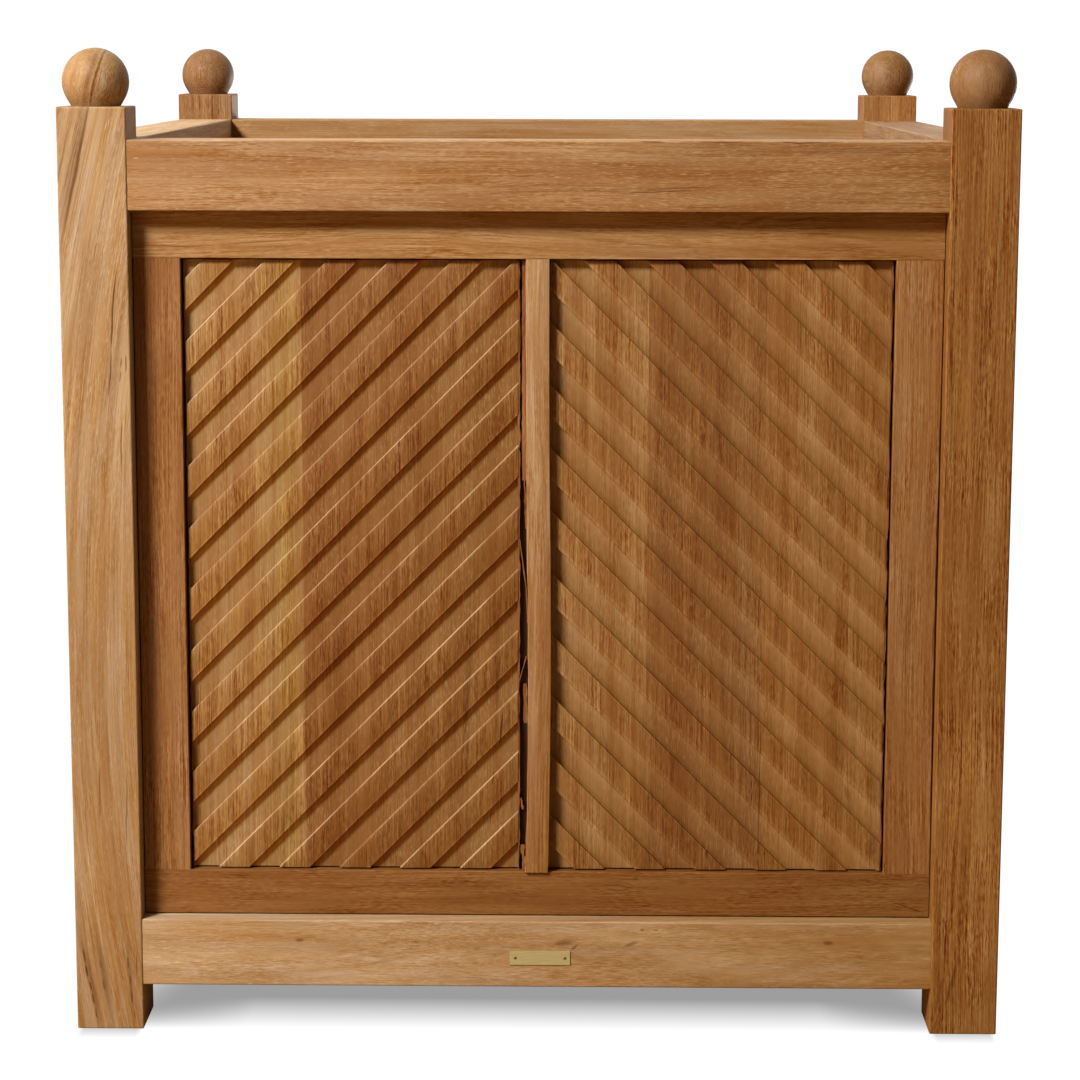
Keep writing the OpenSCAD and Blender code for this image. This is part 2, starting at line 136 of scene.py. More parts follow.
# Place, aim and size in m, power in W, spread in degrees
lamps = {
    "softbox": {  # to the upper left of the camera
        "place": (-2.32, -2.58, 3.06),
        "aim": (-1.0, -0.4, 1.4),  # past the planter, so its lower right falls off a little
        "size": (1.2, 0.8),  # gives the shadows a soft edge of 2 or 3 px
        "power": 134, "tint": "#FFFFFF", "spread": 120,
    },
    "low_reflector": {  # lights the grooves from below
        "place": (-1.5, -1.7, 0.12), "aim": (0.1, -0.4, 0.4), "size": (1.4, 0.6),
        "power": 11, "tint": "#FFC878", "spread": 180,
    },
    "back_softbox": {  # low behind the planter, for its other sides only
        "place": (1.35, 2.3, 0.42), "aim": (0.1, 0.2, 0.42), "size": (1.6, 0.5),
        "power": 42, "tint": "#FFFFFF", "spread": 180,
    },
}


def addLamp(name, setup):
    lamp = bpy.data.lights.new(name, "AREA")
    lamp.shape = "ELLIPSE"
    lamp.size, lamp.size_y = setup["size"]
    lamp.energy = setup["power"]
    lamp.color = linearColour(setup["tint"])[:3]
    lamp.spread = math.radians(setup["spread"])
    holder = bpy.data.objects.new(name, lamp)
    holder.location = setup["place"]
    towards = Vector(setup["place"]) - Vector(setup["aim"])
    holder.rotation_euler = towards.to_track_quat("Z", "Y").to_euler()
    holder.visible_camera = False
    bpy.context.scene.collection.objects.link(holder)


def farther(tree, place):
    # the larger of a place's X and Y
    axes = addNode(tree, "ShaderNodeSeparateXYZ", {}, {"Vector": place}).outputs
    return addNode(tree, "ShaderNodeMath", {"operation": "MAXIMUM"}, {0: axes["X"], 1: axes["Y"]}).outputs[0]


def addFloor(setup):
    bpy.ops.object.select_all(action="DESELECT")
    bpy.ops.mesh.primitive_plane_add(size=setup["floorSize"], location=(0, 0, 0))
    floor = bpy.context.object
    floor.name = "studio_floor"
    # white seamless paper: the camera sees it glow white, with a painted shadow under the planter and before
    # its feet, and the pieces see a warm floor that is lit
    paper = bpy.data.materials.new("white_paper_with_painted_shadow")
    paper.use_nodes = True
    tree = paper.node_tree
    shader = tree.nodes["Principled BSDF"]
    shader.inputs["Base Color"].default_value = linearColour(setup["bounce"])
    shader.inputs["Roughness"].default_value = setup["bounceRoughness"]
    shader.inputs["Specular IOR Level"].default_value = setup["bounceGloss"]
    # the painted shadow is measured from the planter's edge, and its own edge is sharper beside a foot
    half, foot = cadHigh[0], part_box("front_right_post")
    footMiddle, footHalf = (foot[0][0] + foot[1][0]) / 2, (foot[1][0] - foot[0][0]) / 2
    point = addNode(tree, "ShaderNodeTexCoord", {}, {}).outputs["Object"]
    quarter = addNode(tree, "ShaderNodeVectorMath", {"operation": "ABSOLUTE"}, {0: point}).outputs[0]
    outer = farther(tree, quarter)
    fromFoot = addNode(tree, "ShaderNodeVectorMath", {"operation": "SUBTRACT"}, {
        0: quarter, 1: (footMiddle, footMiddle, 0)}).outputs[0]
    offFoot = addNode(tree, "ShaderNodeVectorMath", {"operation": "ABSOLUTE"}, {0: fromFoot}).outputs[0]
    sharp = addNode(tree, "ShaderNodeMapRange", {}, {
        "Value": farther(tree, offFoot), "From Min": footHalf, "From Max": footHalf + setup["footReach"],
        "To Min": 1 + setup["footEdge"], "To Max": 1.0}).outputs[0]
    under = addNode(tree, "ShaderNodeMapRange", {}, {
        "Value": outer, "From Min": half - setup["paintedShadowReach"], "From Max": half}).outputs[0]
    rising = addNode(tree, "ShaderNodeMath", {"operation": "POWER"}, {0: under, 1: sharp}).outputs[0]
    axes = addNode(tree, "ShaderNodeSeparateXYZ", {}, {"Vector": offFoot}).outputs
    reach, share = setup["paintedFootShadow"]
    touching = addNode(tree, "ShaderNodeMapRange", {}, {
        "Value": axes["Y"], "From Min": footHalf, "From Max": footHalf + reach,
        "To Min": share, "To Max": 0.0}).outputs[0]
    paintedContactShadow = addNode(tree, "ShaderNodeMapRange", {}, {
        "Value": axes["X"], "From Min": footHalf - setup["footSide"], "From Max": footHalf,
        "To Min": touching, "To Max": 0.0}).outputs[0]
    whitest = addNode(tree, "ShaderNodeMath", {"operation": "SUBTRACT"}, {
        0: setup["paperWhite"], 1: paintedContactShadow}).outputs[0]
    paintedShadowStrength = addNode(tree, "ShaderNodeMapRange", {}, {
        "Value": rising, "To Min": setup["paintedShadowDark"], "To Max": whitest}).outputs[0]
    paperWithPaintedShadow = addNode(tree, "ShaderNodeEmission", {}, {"Strength": paintedShadowStrength})
    seen = addNode(tree, "ShaderNodeLightPath", {}, {}).outputs["Is Camera Ray"]
    both = addNode(tree, "ShaderNodeMixShader", {}, {
        0: seen, 1: shader.outputs["BSDF"], 2: paperWithPaintedShadow.outputs["Emission"]})
    tree.links.new(both.outputs["Shader"], tree.nodes["Material Output"].inputs["Surface"])
    floor.data.materials.append(paper)


def addRoom(setup):
    # a white room that is brightest behind the planter, and dim and warm on the camera's side
    world = bpy.data.worlds.new("white_studio")
    world.use_nodes = True
    bpy.context.scene.world = world
    tree = world.node_tree
    view = addNode(tree, "ShaderNodeTexCoord", {}, {}).outputs["Generated"]
    depth = addNode(tree, "ShaderNodeSeparateXYZ", {}, {"Vector": view}).outputs["Y"]
    brightness = setup["sky"][0]
    for k in (1, 2):
        brightness = addNode(tree, "ShaderNodeMapRange", smooth, {
            "Value": depth, "From Min": setup["skyDepths"][k - 1], "From Max": setup["skyDepths"][k],
            "To Min": brightness, "To Max": setup["sky"][k]}).outputs[0]
    seen = addNode(tree, "ShaderNodeLightPath", {}, {}).outputs["Is Camera Ray"]
    strength = addNode(tree, "ShaderNodeMapRange", {}, {
        "Value": seen, "To Min": brightness, "To Max": setup["paperWhite"]}).outputs[0]
    whiteness = addNode(tree, "ShaderNodeMapRange", smooth, {
        "Value": depth, "From Min": setup["skyWhite"][0], "From Max": setup["skyWhite"][1]}).outputs[0]
    whiteSeen = addNode(tree, "ShaderNodeMath", {"operation": "MAXIMUM"}, {0: whiteness, 1: seen}).outputs[0]
    tint = addNode(tree, "ShaderNodeMix", {"data_type": "RGBA"}, {
        0: whiteSeen, 6: linearColour(setup["skyTint"]), 7: (1, 1, 1, 1)}).outputs[2]
    tree.links.new(tint, tree.nodes["Background"].inputs["Color"])
    tree.links.new(strength, tree.nodes["Background"].inputs["Strength"])
    settings = bpy.context.scene.view_settings
    settings.view_transform = "Standard"
    settings.look = "None"


addFloor(studio)
addRoom(studio)
for name, setup in lamps.items():
    addLamp(name, setup)

print("stage: worn copies of the panels and the muntin")

sideNames = ("front", "right_side", "back", "left_side")
meshRepair = {
    "weld": 0.01,  # mm
    "flat": 1,  # degrees, up to which neighbours are one face
    "smoothBelow": 35,  # degrees
}


def sideOf(name):
    # quarter turns from the front to the side that a piece belongs to
    if name.endswith(("_post", "_finial")):
        return 0
    return next((turns for turns, side in enumerate(sideNames) if name.startswith(side + "_")), 0)


def mergedCopy(node, label):
    # a CAD mesh is loose triangles, so its copy is merged and its flat faces are made whole
    bpy.ops.object.select_all(action="DESELECT")
    piece = nodes[node].copy()
    piece.data = nodes[node].data.copy()
    piece.name = piece.data.name = label
    piece.parent = None
    for key in list(piece.keys()):
        del piece[key]
    bpy.context.scene.collection.objects.link(piece)
    piece.select_set(True)
    bpy.context.view_layer.objects.active = piece
    bpy.ops.object.mode_set(mode="EDIT")
    bpy.ops.mesh.select_all(action="SELECT")
    bpy.ops.mesh.remove_doubles(threshold=meshRepair["weld"] * mm)
    bpy.ops.mesh.customdata_custom_splitnormals_clear()
    bpy.ops.mesh.dissolve_limited(angle_limit=math.radians(meshRepair["flat"]))
    bpy.ops.object.mode_set(mode="OBJECT")
    return piece


def selectEdges(piece, chosen):
    # selects the edges whose middle and whose faces' normals the given test accepts
    bpy.context.tool_settings.mesh_select_mode = (False, True, False)
    mesh = piece.data
    normals = {}
    for face in mesh.polygons:
        for key in face.edge_keys:
            normals.setdefault(key, []).append(face.normal)
    for group in (mesh.vertices, mesh.edges, mesh.polygons):
        group.foreach_set("select", [False] * len(group))
    for edge in mesh.edges:
        start, end = (mesh.vertices[k].co for k in edge.vertices)
        if chosen((start + end) / 2, normals[edge.key]):
            edge.select = True
            for k in edge.vertices:
                mesh.vertices[k].select = True
    bpy.ops.object.mode_set(mode="EDIT")


wornPanel = {
    # mm, how far each kind of edge is worn round on a left-hand and a right-hand panel
    "left": {"upper": 1.35, "lower": 0.35, "end": 0.7},
    "right": {"upper": 0.45, "lower": 1.2, "end": 0.7},
    "segments": 3,
    "profile": 0.5,  # a quarter circle
    # how an edge's kind is told: mm from the raised face, and the sizes of its neighbours' normals
    "flush": 0.02,
    "faceAbove": 0.9,
    "wallBelow": 0.2,
    "straightAbove": 0.95,
}


def wearPanel(name):
    piece = mergedCopy(name, name + "_worn")
    toSide = Matrix.Rotation(-sideOf(name) * math.pi / 2, 3, "Z")
    face = min((toSide @ Vector(corner)).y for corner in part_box(name))

    def kindOfEdge(middle, normals):
        # an edge of the raised face is named for the wall that falls away beside it
        seen = [toSide @ n for n in normals]
        walls = [n for n in seen if abs(n.y) < wornPanel["wallBelow"]]
        raised = any(n.y < -wornPanel["faceAbove"] for n in seen)
        if not (walls and raised and abs((toSide @ middle).y - face) < wornPanel["flush"] * mm):
            return None
        if max(abs(walls[0].x), abs(walls[0].z)) > wornPanel["straightAbove"]:
            return "end"
        return "upper" if walls[0].z > 0 else "lower"

    reaches = wornPanel["left" if name.endswith("left_panel") else "right"]
    for kind, reach in reaches.items():
        selectEdges(piece, lambda middle, normals: kindOfEdge(middle, normals) == kind)
        bpy.ops.mesh.bevel(offset_type="OFFSET", offset=reach * mm, affect="EDGES",
                           segments=wornPanel["segments"], profile=wornPanel["profile"], clamp_overlap=True)
        bpy.ops.object.mode_set(mode="OBJECT")
    bpy.ops.object.shade_smooth_by_angle(angle=math.radians(meshRepair["smoothBelow"]))
    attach(piece, "root")
    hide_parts(name)
    return piece


bowedMuntin = {
    "step": 18,  # mm between the cuts across it
    "bow": 2.3,  # to the right, most at this height
    "bowAt": 320,
    "bowSpan": 165,
    "wander": 0.45,  # how unevenly its left edge was sawn
    "ends": 12,  # that stay straight
    "seed": 11,
}


def bowMuntin(name):
    piece = mergedCopy(name, name + "_bowed")
    low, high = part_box(name)
    ends = bowedMuntin["ends"] * mm
    cuts = int((high[2] - low[2]) / (bowedMuntin["step"] * mm))
    for cut in range(1, cuts):
        bpy.ops.object.mode_set(mode="EDIT")
        bpy.ops.mesh.select_all(action="SELECT")
        place = (0, 0, low[2] + (high[2] - low[2]) * cut / cuts)
        bpy.ops.mesh.bisect(plane_co=place, plane_no=(0, 0, 1))
        bpy.ops.object.mode_set(mode="OBJECT")
    draw = random.Random(bowedMuntin["seed"])
    heights = {}
    for vertex in piece.data.vertices:
        level = round(vertex.co.z / mm)
        heights.setdefault(level, draw.uniform(-1, 1))
        reach = (vertex.co.z / mm - bowedMuntin["bowAt"]) / bowedMuntin["bowSpan"]
        shift = bowedMuntin["bow"] * math.exp(-reach * reach)
        if vertex.co.x < 0:
            shift += bowedMuntin["wander"] * heights[level]
        if low[2] + ends < vertex.co.z < high[2] - ends:
            vertex.co.x += shift * mm
    bpy.ops.object.shade_smooth_by_angle(angle=math.radians(meshRepair["smoothBelow"]))
    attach(piece, "root")
    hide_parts(name)
    return piece


# Fibres that tore loose along the panels' edges, standing on the panels' tongues
tornFibres = {
    "back": -372.2,  # mm, the tongues' face
    "seed": 5,
    "uneven": 0.3,  # how far a cut across a fibre may lie from its even place
    # middle and height of the top end, then of the bottom end, mean width, depth, how ragged, pieces long
    "strips": (
        (-15.7, 669, -15.7, 140, 1.5, 4.6, 0.55, 90),
        (-11.6, 669, -11.3, 482, 3.6, 4.1, 0.35, 34),
        (-11.2, 482, -9.6, 440, 1.4, 3.9, 0.5, 12),
        (-15.9, 436, -9.2, 386, 0.9, 4.4, 0.15, 6),
        (-9.3, 386, -8.3, 358, 0.9, 4.2, 0.2, 5),
        (-9.2, 328, -15.6, 306, 0.9, 4.4, 0.15, 5),
        (-10.2, 304, -10.0, 270, 3.2, 4.3, 0.5, 8),
        (-14.0, 203, -12.0, 193, 1.6, 4.0, 0.4, 4),
        (-12.4, 161, -11.2, 139, 3.0, 3.6, 0.9, 10),
        (298.6, 669, 298.6, 140, 1.2, 4.4, 0.5, 80),
        (-298.6, 669, -298.6, 140, 1.2, 4.4, 0.5, 80),
    ),
}


def addFibre(strip, draw):
    topX, topZ, lowX, lowZ, width, depth, ragged, cuts = strip
    uneven = tornFibres["uneven"]
    place = Vector(((topX + lowX) / 2, tornFibres["back"] - depth / 2, (topZ + lowZ) / 2)) * mm
    bpy.ops.object.select_all(action="DESELECT")
    bpy.ops.mesh.primitive_cube_add(size=1, location=place, scale=Vector((width, depth, topZ - lowZ)) * mm)
    fibre = bpy.context.object
    bpy.ops.object.transform_apply(location=True, rotation=False, scale=True)
    for cut in range(1, cuts):
        bpy.ops.object.mode_set(mode="EDIT")
        bpy.ops.mesh.select_all(action="SELECT")
        level = (0, 0, (lowZ + (topZ - lowZ) * (cut + draw.uniform(-uneven, uneven)) / cuts) * mm)
        bpy.ops.mesh.bisect(plane_co=level, plane_no=(0, 0, 1))
        bpy.ops.object.mode_set(mode="OBJECT")
    leans = {}
    for vertex in fibre.data.vertices:
        side = vertex.co.x > place.x
        key = (round(vertex.co.z / mm, 1), side)
        leans.setdefault(key, draw.uniform(-ragged, ragged))
        share = (vertex.co.z / mm - lowZ) / (topZ - lowZ)
        vertex.co.x += ((topX - lowX) * (share - 0.5) + leans[key]) * mm
    return fibre


def addTornFibres():
    draw = random.Random(tornFibres["seed"])
    fibres = [addFibre(strip, draw) for strip in tornFibres["strips"]]
    for fibre in fibres:
        fibre.select_set(True)
    bpy.context.view_layer.objects.active = fibres[0]
    bpy.ops.object.join()
    piece = fibres[0]
    piece.name = piece.data.name = "torn_fibres"
    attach(piece, "root")
    return piece


shown = dict(nodes)  # the object that shows each piece of wood
for name in sorted(nodes):
    if name.endswith("_panel"):
        shown[name] = wearPanel(name)
shown["front_frame_muntin"] = bowMuntin("front_frame_muntin")
fibrePiece = addTornFibres()

print("stage: teak")

# How large each pattern of the wood is: mm across the grain, mm along it, and levels of detail.
# Teak's pores and fibres are 0.2 to 0.3 mm wide. Here they are drawn three times as coarse, as
# finer ones would be lost between this picture's pixels.
patternSizes = {
    "wave": (90, 420, 1.0),
    "wobble": (9, 26, 1.0),
    "tone": (26, 420, 2.0),
    "figure": (7, 120, 2.0),
    "hue": (13, 190, 2.0),
    "cluster": (17, 60, 1.0),
    "fibre": (0.9, 90, 1.0),
    "speck": (0.8, 7, 1.0),
    "pore": (0.8, 16, 1.0),
    "fleck": (0.7, 8, 1.0),
    "patch": (60, 160, 1.0),
}

patternRoughness = 0.6  # how much a pattern's finer levels count
# How far from its middle, 0.5, a pattern of lines is at its lightest and at its darkest
lineReach = {"figure": 0.18, "hue": 0.18, "fibre": 0.22, "speck": 0.22}
seedSteps = (1.7, 2.9, 4.3)  # m in the log between the pieces' places, for each whole of their seeds
boardStep = 1.7  # m in the log, along the grain, from a panel's first board to past its last

# Dark wood is redder than light wood: where its green changes by 1, red and blue change by these
tintShares = (0.58, 1.0, 1.8)
darkest, leastGain = 0.03, 0.05  # no tint and no change of the wood goes below these
# and where it is more golden than elsewhere, they change by these
hueShares = (0.3, 0.0, -1.0)

# What a mark does to the red, green and blue of the wood under it, and where it is at its full
# strength, from 0 at its edge to 1 in its middle
markKinds = {
    "streaks": {"gain": (0.40, 0.26, 0.15), "full": 0.8},
    "cracks": {"gain": (0.30, 0.14, 0.06), "full": 0.35},
    "palesAndHighlights": {"gain": (1.7, 2.0, 2.5), "full": 0.5},
    "sapwood": {"gain": (0.98, 1.1, 0.74), "full": 0.8},
}
markWobble = 2.4  # mm by which a mark's edge follows the wood
markDepth = 1000  # m, so a mark goes right through its piece

# What every piece of teak starts from. Lengths are in mm, and a piece's own dictionary changes some.
# A range is where a pattern, which runs from 0 to 1, begins to show and shows in full, and a gain is
# how dark or light it makes the wood.
# A mark is (x, z, width, length, lean in degrees, strength), as seen from the piece's own side.
teakBase = {
    "tone": "#A5713F",
    "along": "Z",  # direction of the grain, seen from the piece's own side
    "pith": (160, 60, 0),  # from the piece's middle to the heart of the log
    "tilt": (0, 0, 0),  # degrees by which the grain runs out of the piece
    "sweep": (0, 0),  # the grain bows from this place on, by this much for each metre squared
    "layers": 1,  # how much the patterns are drawn out through the thickness
    "wave": 8,  # how far the growth rings wander
    "ring": 8,  # from one ring to the next
    "ringDetail": (4.0, 0.66),  # levels, and how much the finer ones count
    "ringDepth": 0.34,
    "ringRange": (0.46, 0.78),
    "ringGain": 0.4,
    "toneSpan": 0.15,
    "toneRange": (0.34, 0.66),
    "figureSpan": 0.12,
    "fibreSpan": 0.33,  # the long lines
    "speckSpan": 0.24,  # the short ones
    "clusterSpan": 0.55,  # how much stronger both are in some places than in others
    "clusterRange": (0.3, 0.7),
    "hueSpan": 0.09,
    "poreDepth": 0.4,
    "poreRange": (0.62, 0.76),
    "poreGain": 0.3,
    "fleckDepth": 0.4,
    "fleckFrom": 0.78,  # the lower, the more of the light flecks
    "fleckSoft": 0.14,
    "fleckGain": 1.9,
    "fleckCluster": 0.35,
    "fade": (0, 0),  # by how much the piece is lighter at its right end and at its top
    "cracks": (),  # fine splits and dirt in the pores
    "streaks": (),  # soft dark mineral lines
    "palesAndHighlights": (),  # light spots, lighter patches and torn fibres, and painted highlights along lit edges
    "sapwood": (),  # olive yellow bands
    "slant": 0.0,  # how steeply a mark that crosses a corner climbs along the next side
    "roughness": (0.55, 0.68),
    "roughRange": (0.3, 0.7),  # of the fibre's pattern
    "gloss": 0.25,
    "ior": 1.47,
    "relief": 0.1,
    "bump": 0.6,
}


def stain(tree, colour, mask, start, end, amount, tint):
    # lays a tint over the colour where the mask rises from start to end
    share = addNode(tree, "ShaderNodeMapRange", smooth, {
        "Value": mask, "From Min": start, "From Max": end, "To Max": amount}).outputs[0]
    return addNode(tree, "ShaderNodeMix", {"data_type": "RGBA"}, {0: share, 6: colour, 7: tint}).outputs[2]


def lighten(tree, colour, amount, shares=tintShares):
    gain = addNode(tree, "ShaderNodeVectorMath", {"operation": "MULTIPLY_ADD"}, {
        0: amount, 1: shares, 2: (1, 1, 1)}).outputs[0]
    gain = addNode(tree, "ShaderNodeVectorMath", {"operation": "MAXIMUM"}, {
        0: gain, 1: (leastGain, leastGain, leastGain)}).outputs[0]
    return addNode(tree, "ShaderNodeVectorMath", {"operation": "MULTIPLY"}, {0: colour, 1: gain}).outputs[0]


def logPlace(tree, look, spot, middle):
    # the place in the log's own frame, where the grain runs along Z and the heart is the Z axis
    turn = {"Z": Matrix.Identity(3), "X": Matrix.Rotation(-math.pi / 2, 3, "Y"),
            "Y": Matrix.Rotation(math.pi / 2, 3, "X")}[look["along"]]
    turn = Euler([math.radians(a) for a in look["tilt"]]).to_matrix() @ turn
    heart = middle + Vector(look["pith"]) * mm
    log = addNode(tree, "ShaderNodeMapping", {}, {
        "Vector": spot, "Rotation": turn.to_euler(), "Location": -(turn @ heart)}).outputs[0]
    axes = addNode(tree, "ShaderNodeSeparateXYZ", {}, {"Vector": log}).outputs
    start = (turn @ (Vector([look["sweep"][0] * mm] * 3) - heart)).z
    reach = addNode(tree, "ShaderNodeMath", {"operation": "SUBTRACT"}, {0: axes["Z"], 1: start}).outputs[0]
    square = addNode(tree, "ShaderNodeMath", {"operation": "MULTIPLY"}, {0: reach, 1: reach}).outputs[0]
    bow = addNode(tree, "ShaderNodeMath", {"operation": "MULTIPLY_ADD"}, {
        0: square, 1: -look["sweep"][1], 2: axes["X"]}).outputs[0]
    return bow, axes["Y"], axes["Z"]


def boardChoice(tree, look, side, left, right):
    # a wide panel is glued up from boards: the colour is each one's tint, and the alpha its number
    across = addNode(tree, "ShaderNodeMapRange", {}, {
        "Value": side, "From Min": left, "From Max": right}).outputs[0]
    choice = addNode(tree, "ShaderNodeValToRGB", {}, {"Fac": across})
    choice.color_ramp.interpolation = "CONSTANT"
    stops = choice.color_ramp.elements
    for number, (edge, tint) in enumerate(look["boards"]):
        place = max(0, (edge * mm - left) / (right - left))
        stop = stops[number] if number < 2 else stops.new(place)
        stop.position = place
        stop.color = linearColour(tint)[:3] + (number / len(look["boards"]),)
    return choice.outputs


def woodPattern(tree, look, kind, source):
    across, lengthwise, detail = patternSizes[kind]
    deep = across * look["layers"]
    scaled = addNode(tree, "ShaderNodeMapping", {}, {
        "Vector": source, "Scale": (1000 / across, 1000 / deep, 1000 / lengthwise),
        "Location": Vector(seedSteps) * look["seed"]}).outputs[0]
    return addNode(tree, "ShaderNodeTexNoise", {}, {
        "Vector": scaled, "Scale": 1.0, "Detail": detail, "Roughness": patternRoughness}).outputs


def addMarks(tree, look, colour, spot, inwards, log, face):
    # each mark is a lens across its place, with an edge that follows the wood, which shows through it
    wobble = addNode(tree, "ShaderNodeVectorMath", {"operation": "MULTIPLY_ADD"}, {
        0: woodPattern(tree, look, "wobble", log)["Color"],
        1: (markWobble * mm, 0, markWobble * mm), 2: spot}).outputs[0]
    if look["slant"]:
        behind = addNode(tree, "ShaderNodeMath", {"operation": "SUBTRACT"}, {0: inwards, 1: face}).outputs[0]
        wobble = addNode(tree, "ShaderNodeVectorMath", {"operation": "MULTIPLY_ADD"}, {
            0: behind, 1: (look["slant"], 0, 0), 2: wobble}).outputs[0]
    for kind, mark in markKinds.items():
        for x, z, width, length, lean, strength in look[kind]:
            lens = addNode(tree, "ShaderNodeMapping", {"vector_type": "TEXTURE"}, {
                "Vector": wobble, "Location": ((x + markWobble / 2) * mm, 0, (z + markWobble / 2) * mm),
                "Rotation": (0, math.radians(lean), 0),
                "Scale": (width / 2 * mm, markDepth, length / 2 * mm)}).outputs[0]
            inside = addNode(tree, "ShaderNodeTexGradient", {"gradient_type": "SPHERICAL"}, {
                "Vector": lens}).outputs["Fac"]
            marked = addNode(tree, "ShaderNodeVectorMath", {"operation": "MULTIPLY"}, {
                0: colour, 1: mark["gain"]}).outputs[0]
            colour = stain(tree, colour, inside, 0.0, mark["full"], strength, marked)
    return colour


def addEndGradient(tree, fade, colour, axes, corners):
    # makes a piece paler towards one end and darker towards the other
    paler = 0.0
    for axis, share in (("X", fade[0]), ("Z", fade[1])):
        start, end = sorted(getattr(corner, axis.lower()) for corner in corners)
        slope = addNode(tree, "ShaderNodeMapRange", {}, {
            "Value": axes[axis], "From Min": start, "From Max": end,
            "To Min": -share, "To Max": share}).outputs[0]
        paler = addNode(tree, "ShaderNodeMath", {"operation": "ADD"}, {0: slope, 1: paler}).outputs[0]
    return lighten(tree, colour, paler)


def addMillingAndPaintedLight(tree, milled, colour, axes, face, patch, shade):
    # how far up a place lies between one band's top edge (0) and the next one's (1)
    steepness = milled["rises"] * math.tan(math.radians(milled["angle"]))
    level = addNode(tree, "ShaderNodeMath", {"operation": "MULTIPLY_ADD"}, {
        0: axes["X"], 1: -steepness, 2: axes["Z"]}).outputs[0]
    height = addNode(tree, "ShaderNodeMath", {"operation": "SUBTRACT"}, {
        0: level, 1: milled["topEdge"] * mm}).outputs[0]
    rise = milled["pitch"] / math.cos(math.radians(milled["angle"]))
    turns = addNode(tree, "ShaderNodeMath", {"operation": "DIVIDE"}, {0: height, 1: rise * mm}).outputs[0]
    phase = addNode(tree, "ShaderNodeMath", {"operation": "FRACT"}, {0: turns}).outputs[0]
    # the ramp's gains paint light and shade across the bands, along with the grooves' own paler colour
    ramp = addNode(tree, "ShaderNodeValToRGB", {}, {"Fac": phase})
    stops = ramp.color_ramp.elements
    for number, (place, *gain) in enumerate(milled["across"]):
        stop = stops[number] if number < 2 else stops.new(place)
        stop.position = place
        stop.color = tuple(share / milled["most"] for share in gain) + (1.0,)
    paintedLightGain = addNode(tree, "ShaderNodeVectorMath", {"operation": "SCALE"}, {
        0: ramp.outputs["Color"], "Scale": milled["most"]}).outputs[0]
    colour = addNode(tree, "ShaderNodeVectorMath", {"operation": "MULTIPLY"}, {
        0: colour, 1: paintedLightGain}).outputs[0]

    # an arris is painted light: partly the bare, light wood of a worn edge and partly a painted highlight,
    # more in places, and one band's more than another's
    arrisFrom, arrisFull, endFrom, endFull = (face + part * milled["deep"] * mm for part in milled["wall"])
    arris = addNode(tree, "ShaderNodeMapRange", smooth, {
        "Value": axes["Y"], "From Min": arrisFrom, "From Max": arrisFull}).outputs[0]
    bare = addNode(tree, "ShaderNodeMapRange", smooth, {
        "Value": patch, "From Min": milled["barePatches"][0], "From Max": milled["barePatches"][1],
        "To Min": milled["bare"][0], "To Max": milled["bare"][1]}).outputs[0]
    ending = addNode(tree, "ShaderNodeMapRange", smooth, {
        "Value": axes["Y"], "From Min": endFrom, "From Max": endFull,
        "To Min": bare, "To Max": 0.0}).outputs[0]
    band = addNode(tree, "ShaderNodeMath", {"operation": "FLOOR"}, {0: turns}).outputs[0]
    chance = addNode(tree, "ShaderNodeTexWhiteNoise", {"noise_dimensions": "1D"}, {
        "W": band}).outputs["Value"]
    worn = addNode(tree, "ShaderNodeMapRange", {}, {
        "Value": chance, "To Min": milled["bandWearAndHighlight"][0], "To Max": milled["bandWearAndHighlight"][1]}).outputs[0]
    wall = addNode(tree, "ShaderNodeMath", {"operation": "MULTIPLY"}, {0: arris, 1: ending}).outputs[0]
    wall = addNode(tree, "ShaderNodeMath", {"operation": "MULTIPLY"}, {0: wall, 1: worn}).outputs[0]
    colour = stain(tree, colour, wall, 0.0, 1.0, 1.0, linearColour(milled["bareTone"]))

    # deep in the open joints the wood is painted almost black: painted shade
    tongue = face + milled["tongue"] * mm
    paintedJointShadeFrom, paintedJointShadeFull = (face + part * milled["deep"] * mm for part in milled["paintedJointShadeRange"])
    paintedJointShade = addNode(tree, "ShaderNodeMapRange", smooth, {
        "Value": axes["Y"], "From Min": tongue - milled["paintedJointShadeEnd"] * mm, "From Max": tongue,
        "To Min": milled["paintedJointShade"], "To Max": 0.0}).outputs[0]
    return stain(tree, colour, axes["Y"], paintedJointShadeFrom, paintedJointShadeFull, paintedJointShade, shade(*milled["paintedJointShadeGain"]))


